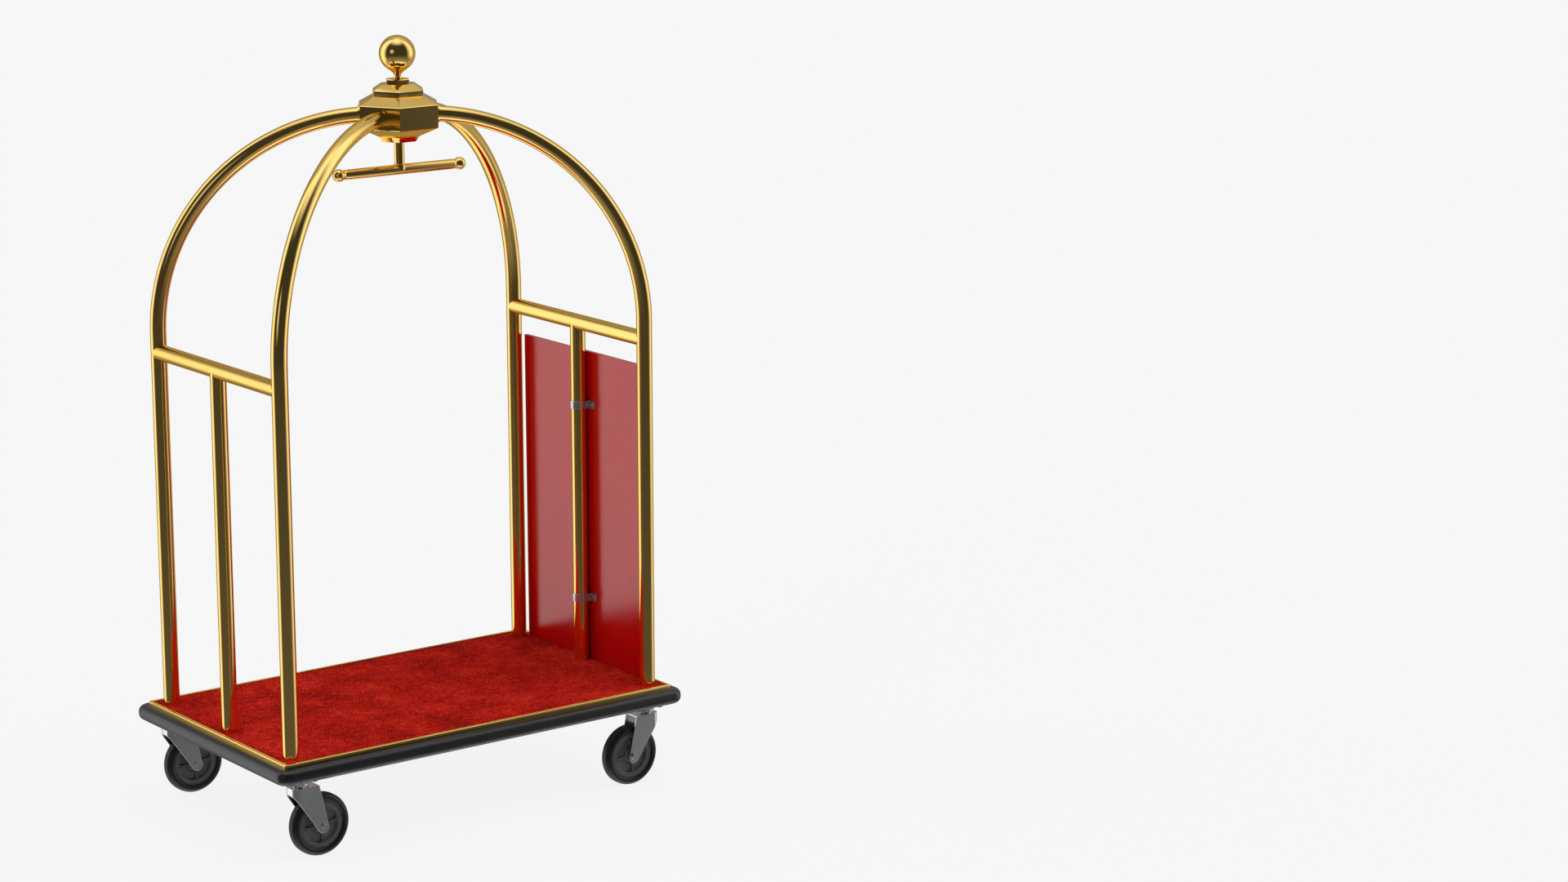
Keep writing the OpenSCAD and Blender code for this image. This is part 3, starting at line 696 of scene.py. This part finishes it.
def frame_tubes():
    for end, side in CORNERS:
        name = corner(end, side)
        path = arch_path(ENDS[end], SIDES[side])
        tube = bent_tubes("arch_" + name, [path], TUBE_R, BRASS)
        hand_over(tube, None, "cart", "brass", "upright_" + name)
    for end, sx in ENDS.items():
        x = sx * POST_X
        path = [(x, y, RAIL_Z) for y in (-POST_Y, 0, POST_Y)]
        rail = bent_tubes("rail_" + end, [path], TUBE_R * 0.999, BRASS)
        hand_over(rail, None, "cart", "brass", "end_rail_" + end)
        path = [(x, 0, z) for z in (POST_FOOT_Z, POST_SPLIT_Z, RAIL_Z)]
        post = bent_tubes("post_" + end, [path], TUBE_R * 0.998, BRASS)
        hand_over(post, None, "cart", "brass", "middle_post_" + end)


# ---------------------------------------------------------------- hub
def hub_pieces():
    for name in ("hub_band", "hub_top_cap", "hub_bottom_cap", "finial_collar"):
        piece = softened(name, 0.0009, 3, 12)
        hand_over(piece, BRASS, "cart", "brass", name)
    low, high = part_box("finial_ball")
    radius = (high.x - low.x) / 2
    centre = high.z - radius
    lean = math.acos(0.62)
    neck = 0.0080
    waist = Vector((neck, low.z + 0.0070))
    start = Vector((radius * math.cos(lean), centre - radius * math.sin(lean)))
    slope = Vector((-math.sin(lean), -math.cos(lean)))
    pull = (start - waist).length
    profile = [(0.0, low.z), (0.0092, low.z), (0.0099, low.z + 0.0009), (0.0099, low.z + 0.0026)]
    profile += [(0.0092, low.z + 0.0036), (neck + 0.0003, low.z + 0.0045), tuple(waist)]
    for i in range(1, 14):
        t = i / 14
        b, c = waist + Vector((0.0004, 0.28 * pull)), start + slope * 0.5 * pull
        p = (1 - t) ** 3 * waist + 3 * t * (1 - t) ** 2 * b + 3 * t * t * (1 - t) * c + t**3 * start
        profile.append(tuple(p))
    for i in range(41):
        a = -lean + (TAU / 4 + lean) * i / 40
        profile.append((radius * math.cos(a) if i < 40 else 0.0, centre + radius * math.sin(a)))
    ball = turned("finial_ball_finished", profile, steps=96, angle=60)
    hand_over(ball, BRASS, "cart", "brass", "finial_ball")
    collar = softened("tube_collars", 0.0006, 2, 30)
    hand_over(collar, BRASS, "cart", "brass", "tube_collars")
    coat(DARK_STEEL, "tie_rod")


def hanger_pieces():
    bar_z = mid("hanger_bar").z
    bar_r = size("hanger_bar").z / 2
    knob_r = size("hanger_knobs").z / 2
    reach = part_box("hanger_knobs")[1].x
    knob_x = reach - knob_r
    flare = math.sqrt(knob_r**2 - bar_r**2)
    groove_l, groove_depth = 0.011, 0.0011
    groove_x = knob_x - flare - groove_l
    half = [(bar_r, 0.0), (bar_r, groove_x)]
    for i in range(1, 9):
        t = i / 9
        r = bar_r - groove_depth * math.sin(math.pi * t) ** 2
        half.append((r, groove_x + groove_l * t))
    start = math.acos(-flare / knob_r)
    for i in range(25):
        a = start * (1 - i / 24)
        half.append((knob_r * math.sin(a) if i < 24 else 0.0, knob_x + knob_r * math.cos(a)))
    profile = [(r, -z) for r, z in reversed(half[1:])] + half
    along = Matrix.Translation((0, 0, bar_z)) @ Matrix.Rotation(TAU / 4, 4, "Y")
    bar = turned("hanger_bar_finished", profile, along, steps=48, angle=60)
    hand_over(bar, BRASS, "cart", "brass", "hanger_bar", "hanger_knobs")
    low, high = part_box("hanger_stem")
    stem_r = (high.x - low.x) / 2
    weld, weld_z = 0.0022, bar_z + bar_r * 0.98
    profile = [(0.0, bar_z), (stem_r + weld, bar_z), (stem_r + weld, weld_z)]
    for i in range(1, 7):
        t = i / 6
        profile.append((stem_r + weld * (1 - math.sin(TAU / 4 * t)), weld_z + weld * t))
    profile += [(stem_r, high.z), (0.0, high.z)]
    stem = turned("hanger_stem_finished", profile, steps=48, angle=50)
    hand_over(stem, BRASS, "cart", "brass", "hanger_stem")


# ---------------------------------------------------------------- deck
def deck_pieces():
    corner_r = 0.008
    wall = 0.0015
    bend = 0.0027
    section = [(-wall, TRIM_LOW_Z), (-0.0004, TRIM_LOW_Z), (0.0, TRIM_LOW_Z + 0.0004)]
    for i in range(9):
        a = TAU / 4 * i / 8
        section.append((-bend + bend * math.cos(a), TRIM_TOP_Z - bend + bend * math.sin(a)))
    for out, drop in (
        (-0.0050, 0.0),
        (-0.0053, 0.0003),
        (-0.0055, 0.0008),
        (-0.0060, 0.0008),
        (-0.0062, 0.0003),
        (-0.0065, 0.0),
        (-0.0072, 0.0),
        (-0.0077, 0.0003),
        (-LIP_W, 0.0009),
        (-LIP_W, wall),
        (-bend, wall),
        (-wall, bend),
    ):
        section.append((out, TRIM_TOP_Z - drop))
    trim = swept_loop("edge_trim_finished", section, loop_path(HALF_L, HALF_W, corner_r), 40)
    hand_over(trim, SATIN_BRASS, "cart", "brass", "edge_trim")

    low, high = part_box("bumper")
    out = high.x - HALF_L
    edge, outer_r = 0.016, 0.030
    section = [(0.0, low.z)]
    for centre_z, start in ((low.z + edge, 3), (high.z - edge, 4)):
        for i in range(9):
            a = TAU / 4 * (start + i / 8)
            section.append((out - edge + edge * math.cos(a), centre_z + edge * math.sin(a)))
    section.append((0.0, high.z))
    inner = loop_path(HALF_L, HALF_W, corner_r, 12)
    outer = loop_path(HALF_L + out, HALF_W + out, outer_r, 12)
    verts = []
    for (near, _), (far, _) in zip(inner, outer):
        for u, z in section:
            spot = near.lerp(far, u / out)
            verts.append(Vector((spot.x, spot.y, z)))
    faces = ring_faces(len(inner), len(section), True)
    bumper = mesh_object("bumper_finished", verts, faces, 35)
    hand_over(bumper, RUBBER, "cart", "bumper_rubber", "bumper")

    coat(ZINC, "side_rails", "end_beam_open", "end_beam_panel", "centre_beam")
    coat(ZINC, "foot_plugs", "foot_bolts")
    coat(PLYWOOD, "deck_board")


def carpet_pieces():
    """A thin cut-pile sheet between the trim's lips, with its tufts."""
    low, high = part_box("carpet")
    half_l, half_w = HALF_L - LIP_W - 0.0004, HALF_W - LIP_W - 0.0004
    base_z = high.z - 0.0016
    step = 0.0055
    nx, ny = round(2 * half_l / step), round(2 * half_w / step)
    posts = [(sx * POST_X, y) for sx in (-1, 1) for y in (-POST_Y, 0, POST_Y)]
    hole = TUBE_R + 0.0006

    def spot(i, j):
        x, y = -half_l + 2 * half_l * i / nx, -half_w + 2 * half_w * j / ny
        for px, py in posts:
            d = Vector((x - px, y - py))
            if 0.35 * hole < d.length < hole + 0.4 * step:
                d = d.normalized() * hole
                x, y = px + d.x, py + d.y
        edge = min(half_l - abs(x), half_w - abs(y))
        lift = 0.0004 * noise.noise(Vector((x * 22, y * 22, 1.7)))
        lift += 0.0003 * noise.noise(Vector((x * 90, y * 90, 5.1)))
        roll = min(1.0, edge / 0.004)
        return Vector((x, y, base_z - 0.0012 * (1 - roll) ** 2 + lift * roll))

    verts = [spot(i, j) for i in range(nx + 1) for j in range(ny + 1)]
    faces = []
    for i in range(nx):
        for j in range(ny):
            a = i * (ny + 1) + j
            quad = (a, a + ny + 1, a + ny + 2, a + 1)
            centre = sum((verts[k] for k in quad), Vector()) / 4
            if all((Vector((px, py)) - centre.xy).length > hole * 0.93 for px, py in posts):
                faces.append(quad)
    sheet = mesh_object("carpet_sheet", verts, faces, None)
    if sum(p.normal.z for p in sheet.data.polygons) < 0:
        sheet.data.flip_normals()
    bm = bmesh.new()
    bm.from_mesh(sheet.data)
    loose = [v for v in bm.verts if not v.link_faces]
    bmesh.ops.delete(bm, geom=loose, context="VERTS")
    bm.to_mesh(sheet.data)
    bm.free()

    pile = add_object("carpet_pile", sheet.data.copy())
    run_tree(
        pile,
        TUFTS,
        {
            "Spacing": 0.0037,
            "Tuft Height": 0.0026,
            "Tuft Radius": 0.0021,
            "Lean": 0.55,
            "Seed": 11,
            "Material": PILE,
        },
    )
    pile.data.transform(Matrix.Translation((0, 0, 0.0003)))
    thick = sheet.modifiers.new("backing", "SOLIDIFY")
    thick.thickness = 0.003
    thick.offset = -1
    applied(sheet)
    shade(sheet, None)
    hand_over(sheet, PILE, "cart", "carpet", "carpet")
    hand_over(pile, None, "cart", "carpet")


# ---------------------------------------------------------------- end panel
def cross_screw(name, place, length, turn):
    """A pan-head screw along +X with a cross recess in its head."""
    rim, rise = 0.0040, 0.0024
    cap = [(0.0, 0.0), (0.0016, 0.00005), (0.0026, 0.0003), (0.0035, 0.0008)]
    cap += [(rim, 0.0016), (rim, rise)]
    shank = [(0.0019, rise), (0.0019, length - 0.0006), (0.0012, length), (0.0, length)]
    place = Matrix.Translation(place) @ Matrix.Rotation(TAU / 4, 4, "Y")
    place = place @ Matrix.Rotation(turn, 4, "Z")
    screw = turned(name, cap + shank, place, steps=32, angle=35)
    bm = bmesh.new()
    for half_l, half_w in ((0.0022, 0.0005), (0.0005, 0.0022)):
        box_mesh(bm, (-half_l, -half_w, -0.001), (half_l, half_w, 0.0013))
    bm.transform(place)
    mesh = bpy.data.meshes.new(name + "_recess")
    bm.to_mesh(mesh)
    bm.free()
    recess = add_object(name + "_recess", mesh)
    cut = screw.modifiers.new("recess", "BOOLEAN")
    cut.object = recess
    cut.solver = "EXACT"
    cut.use_self = True
    applied(screw)
    bpy.data.objects.remove(recess)
    return clean(screw, 35)


def panel_pieces():
    panel = softened("end_panel", 0.0012, 3, 30)
    hand_over(panel, LAMINATE, "cart", "panel", "end_panel")
    for name in ("clip_upper", "clip_lower"):
        clip = softened(name, 0.0007, 2, 25)
        hand_over(clip, ZINC, "cart", "steel", name)
    low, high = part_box("clip_screws")
    head_z = [mid("clip_lower").z, mid("clip_upper").z]
    side_y = (size("clip_upper").y / 2 + TUBE_R + 0.0021) / 2
    screws = []
    for k, z in enumerate(head_z):
        for y in (-side_y, side_y):
            name, turn = f"screw_{len(screws)}", 0.35 + 0.7 * k
            screws.append(cross_screw(name, (low.x, y, z), high.x - low.x, turn))
    hand_over(join("clip_screws_finished", screws), ZINC, "cart", "steel", "clip_screws")


# ---------------------------------------------------------------- casters
def wheel_profiles(bore, boss_end, core_r, rim_half, tread_r, half):
    """Half outlines of (radius, height) of wheel centre and tyre, from the middle out."""
    wheel = [
        (bore, boss_end - 0.0003),
        (bore + 0.0003, boss_end),
        (0.0077, boss_end),
        (0.0080, boss_end - 0.0003),
        (0.0080, 0.0124),
        (0.0092, 0.0112),
        (0.0170, 0.0112),
        (0.0182, 0.0106),
        (0.0187, 0.0094),
        (0.0192, 0.0058),
        (0.0205, 0.0046),
        (0.0226, 0.0045),
        (0.0232, 0.0066),
        (0.0240, 0.0072),
        (0.0254, 0.0072),
        (0.0261, 0.0066),
        (0.0268, 0.0045),
        (0.0405, 0.0040),
        (0.0422, 0.0048),
        (0.0436, 0.0094),
        (0.0444, 0.0112),
        (0.0454, 0.0119),
        (0.0468, 0.0120),
        (0.0480, 0.0116),
        (0.0490, 0.0108),
        (0.0505, 0.0106),
        (core_r - 0.0032, 0.0108),
        (core_r - 0.0022, rim_half),
        (core_r - 0.0003, rim_half),
        (core_r, rim_half - 0.0005),
    ]
    edge = 0.012
    tyre = [
        (core_r + 0.0002, 0.0118),
        (core_r + 0.0008, 0.0132),
        (core_r + 0.0024, half - 0.0016),
        (core_r + 0.0036, half - 0.0006),
    ]
    for i in range(13):
        a = TAU / 4 * (1 - i / 12)
        r = tread_r - edge + edge * math.cos(a)
        h = half - edge + edge * math.sin(a)
        if r > core_r + 0.0042:
            tyre.append((r, h))
    return wheel, tyre


def grooved(outline, tread_r, places, width=0.0007, depth=0.0009):
    """Adds fine grooves round the tread to a tyre's half outline."""
    out = []
    for r, h in outline:
        out.append((r, h))
    for place in places:
        keep = [p for p in out if not (abs(p[1] - place) < width and p[0] > tread_r - 0.006)]
        level = [p for p in keep if p[0] > tread_r - 0.006]
        r = tread_r
        for a, b in zip(level, level[1:]):
            if min(a[1], b[1]) <= place <= max(a[1], b[1]) and a[1] != b[1]:
                t = (place - a[1]) / (b[1] - a[1])
                r = a[0] + t * (b[0] - a[0])
        cut = [(r, place + width / 2), (r - depth, place + width / 4)]
        cut += [(r - depth, place - width / 4), (r, place - width / 2)]
        later = (i for i, p in enumerate(keep) if p[0] > tread_r - 0.006 and p[1] < place)
        index = next(later, len(keep))
        out = keep[:index] + cut + keep[index:]
    return out


def both_halves(outline):
    return outline + [(r, -h) for r, h in reversed(outline)]


def rib_tree():
    """Stands copies of one rib evenly round the Z axis."""
    tree, src, out = geometry_tree(
        "wheel ribs", [("Count", "Int", 4), ("Turn", "Float", 0.0), ("Material", "Material", None)]
    )
    spots = node(
        tree, "GeometryNodeMeshLine", {"Count": src.outputs["Count"], "Offset": (0.0, 0.0, 0.0)}
    )
    step = calc(tree, "DIVIDE", TAU, src.outputs["Count"])
    index = node(tree, "GeometryNodeInputIndex").outputs[0]
    angle = calc(tree, "MULTIPLY_ADD", index, step, src.outputs["Turn"])
    spin = node(tree, "ShaderNodeCombineXYZ", {2: angle})
    copies = node(
        tree,
        "GeometryNodeInstanceOnPoints",
        {
            "Points": spots.outputs[0],
            "Instance": src.outputs["Geometry"],
            "Rotation": spin.outputs[0],
        },
    )
    return finish_tree(tree, copies.outputs[0], src, out)


def box_mesh(bm, low, high):
    made = bmesh.ops.create_cube(bm, size=1.0)["verts"]
    for v in made:
        v.co = Vector([low[k] + (v.co[k] + 0.5) * (high[k] - low[k]) for k in range(3)])


def wheel_ribs(name, top, place):
    """Four T-shaped ribs on each side of the web."""
    bm = bmesh.new()
    for side in (1, -1):
        z0, z1 = sorted((side * 0.0035, side * top))
        box_mesh(bm, (0.0188, -0.0014, z0), (0.0425, 0.0014, z1))
        box_mesh(bm, (0.0398, -0.0058, z0), (0.0424, 0.0058, z1))
    bmesh.ops.bevel(
        bm, geom=list(bm.edges), offset=0.0005, segments=2, affect="EDGES", profile=0.6
    )
    mesh = bpy.data.meshes.new(name)
    bm.to_mesh(mesh)
    bm.free()
    ribs = add_object(name, mesh)
    run_tree(ribs, RIBS, {"Count": 4, "Turn": math.radians(6), "Material": WHEEL_PLASTIC})
    ribs.data.transform(place)
    return clean(ribs, 35)


def caster_pieces():
    for end, side in CORNERS:
        name = corner(end, side)
        for part in ("fork", "race", "axle"):
            piece = softened(f"{part}_{name}", 0.0007, 3, 30)
            hand_over(piece, CHROME, "swivel_" + name, "chrome", f"{part}_{name}")
        middle, reach = mid("wheel_" + name), size("wheel_" + name)
        tread = size("tyre_" + name)
        place = Matrix.Translation(middle) @ Matrix.Rotation(TAU / 4, 4, "X")
        wheel, tyre = wheel_profiles(
            0.0051, reach.y / 2, reach.z / 2, 0.0120, tread.z / 2, tread.y / 2
        )
        tyre = grooved(tyre, tread.z / 2, (0.0105, 0.0072, 0.0038, 0.0008))
        body = "roller_" + name
        centre = turned(
            f"wheel_centre_{name}", both_halves(wheel), place, steps=72, closed=True, angle=30
        )
        hand_over(centre, WHEEL_PLASTIC, body, "wheel_plastic", "wheel_" + name)
        ribs = wheel_ribs(f"wheel_ribs_{name}", 0.0098, place)
        hand_over(ribs, None, body, "wheel_plastic")
        tread_piece = turned(
            f"tyre_tread_{name}", both_halves(tyre), place, steps=96, closed=True, angle=32
        )
        hand_over(tread_piece, TYRE, body, "tyre", "tyre_" + name)
    for part in ("caster_plates", "head_discs", "kingpins"):
        piece = softened(part, 0.0006, 2, 30)
        hand_over(piece, CHROME, "cart", "chrome", part)
    for part in ("caster_bolts", "caster_nuts"):
        piece = softened(part, 0.0005, 2, 30)
        hand_over(piece, ZINC, "cart", "steel", part)


# ---------------------------------------------------------------- room
GLINT = (-0.8797, -0.3990, 0.2588)
BEHIND, LEFTWARD = (0.61, 0.7925, 0.0), (-0.7925, 0.61, 0.0)
SIDE_LIGHT, TOP_LIGHT, PAPER_WHITE = 1.38, 1.45, 0.93
CAMERA_PLACE, CAMERA_LENS = (-4.5307, -7.3687, 2.777), 84.65
CAMERA_YAW, CAMERA_PITCH = math.radians(52.418), math.radians(-12.534)


def build_room():
    """A pale floor, a bright room behind and above and a dim one in front."""
    size_m = 60.0
    mesh = bpy.data.meshes.new("floor")
    mesh.from_pydata(
        [(x * size_m, y * size_m, FLOOR_Z) for x, y in ((-1, -1), (1, -1), (1, 1), (-1, 1))],
        [],
        [(0, 1, 2, 3)],
    )
    floor = add_object("floor", mesh)
    material = bpy.data.materials.new("pale studio floor")
    material.use_nodes = True
    tree = material.node_tree
    shader = tree.nodes["Principled BSDF"]
    shader.inputs["Base Color"].default_value = (0.08, 0.08, 0.08, 1)
    shader.inputs["Roughness"].default_value = 1.0
    shader.inputs["Specular IOR Level"].default_value = 0.0
    shader.inputs["Emission Color"].default_value = (1, 1, 1, 1)
    shader.inputs["Emission Strength"].default_value = 0.865
    mesh.materials.append(material)
    floor.visible_glossy = False

    world = bpy.data.worlds.new("studio")
    bpy.context.scene.world = world
    world.use_nodes = True
    tree = world.node_tree
    background = tree.nodes["Background"]
    where = node(tree, "ShaderNodeTexCoord").outputs["Generated"]
    height = node(tree, "ShaderNodeSeparateXYZ", {0: where}).outputs[2]

    def along(direction):
        return node(
            tree, "ShaderNodeVectorMath", {0: where, 1: direction}, operation="DOT_PRODUCT"
        ).outputs["Value"]

    behind, left = along(BEHIND), along(LEFTWARD)
    turn = calc(tree, "ABSOLUTE", calc(tree, "ARCTAN2", left, behind))
    on_left = ramp(tree, left, -0.1, 0.1)
    wide = calc(
        tree,
        "MULTIPLY",
        ramp(tree, turn, math.radians(45), math.radians(72)),
        mix_values(
            tree,
            on_left,
            ramp(tree, turn, math.radians(72), math.radians(117), 1.0, 0.0),
            ramp(tree, turn, math.radians(86), math.radians(118), 1.0, 0.0),
        ),
    )
    foot_right = ramp(tree, height, -0.65, -0.05)
    foot_left = ramp(tree, height, -0.93, -0.72)
    foot = mix_values(tree, on_left, foot_right, foot_left)
    sides = calc(tree, "MULTIPLY", calc(tree, "MULTIPLY", wide, foot), SIDE_LIGHT)
    dome = node(tree, "ShaderNodeMapRange", {0: height, 1: 0.72, 2: 1.0}).outputs[0]
    above = calc(tree, "MULTIPLY", calc(tree, "POWER", dome, 2.0), TOP_LIGHT)
    back = calc(
        tree,
        "MULTIPLY",
        ramp(tree, turn, math.radians(60), math.radians(100), 1.0, 0.0),
        calc(
            tree,
            "ADD",
            calc(tree, "MULTIPLY_ADD", left, -0.08, 0.37),
            ramp(tree, height, 0.5, 0.88, 0.0, 0.22),
        ),
    )
    below = ramp(tree, height, -0.6, -0.85, 0.0, 1.2)
    front = ramp(tree, height, -0.10, -0.65, 0.045, 0.27)
    glint = ramp(tree, along(GLINT), 0.966, 0.998, 0.0, 0.7)
    most = front
    for part in (sides, above, back, below):
        most = calc(tree, "MAXIMUM", most, part)
    full = calc(tree, "ADD", most, glint)
    seen = node(tree, "ShaderNodeLightPath").outputs["Is Camera Ray"]
    strength = mix_values(tree, seen, full, PAPER_WHITE)
    tree.links.new(strength, background.inputs["Strength"])
    background.inputs["Color"].default_value = (1, 1, 1, 1)

    for name, direction, energy, width in (
        ("key", (0.25, -0.45, 0.86), 0.5, 30),
        ("fill", (-0.9, -0.25, 0.35), 0.35, 40),
    ):
        lamp = bpy.data.lights.new(name, "SUN")
        lamp.energy = energy
        lamp.angle = math.radians(width)
        obj = bpy.data.objects.new(name, lamp)
        bpy.context.scene.collection.objects.link(obj)
        obj.rotation_euler = Vector(direction).to_track_quat("Z", "Y").to_euler()
        obj.visible_glossy = False


def build_camera():
    data = bpy.data.cameras.new("camera")
    data.lens = CAMERA_LENS
    data.sensor_width = 36
    data.clip_start, data.clip_end = 0.1, 300
    camera = bpy.data.objects.new("camera", data)
    bpy.context.scene.collection.objects.link(camera)
    camera.location = CAMERA_PLACE
    flat = Vector((math.cos(CAMERA_YAW), math.sin(CAMERA_YAW), 0))
    look = flat * math.cos(CAMERA_PITCH) + Vector((0, 0, math.sin(CAMERA_PITCH)))
    camera.rotation_euler = look.to_track_quat("-Z", "Y").to_euler()
    bpy.context.scene.camera = camera
    bpy.context.scene.view_settings.view_transform = "Standard"


RIBS = rib_tree()
build_camera()
build_room()
frame_tubes()
hub_pieces()
hanger_pieces()
deck_pieces()
carpet_pieces()
panel_pieces()
caster_pieces()
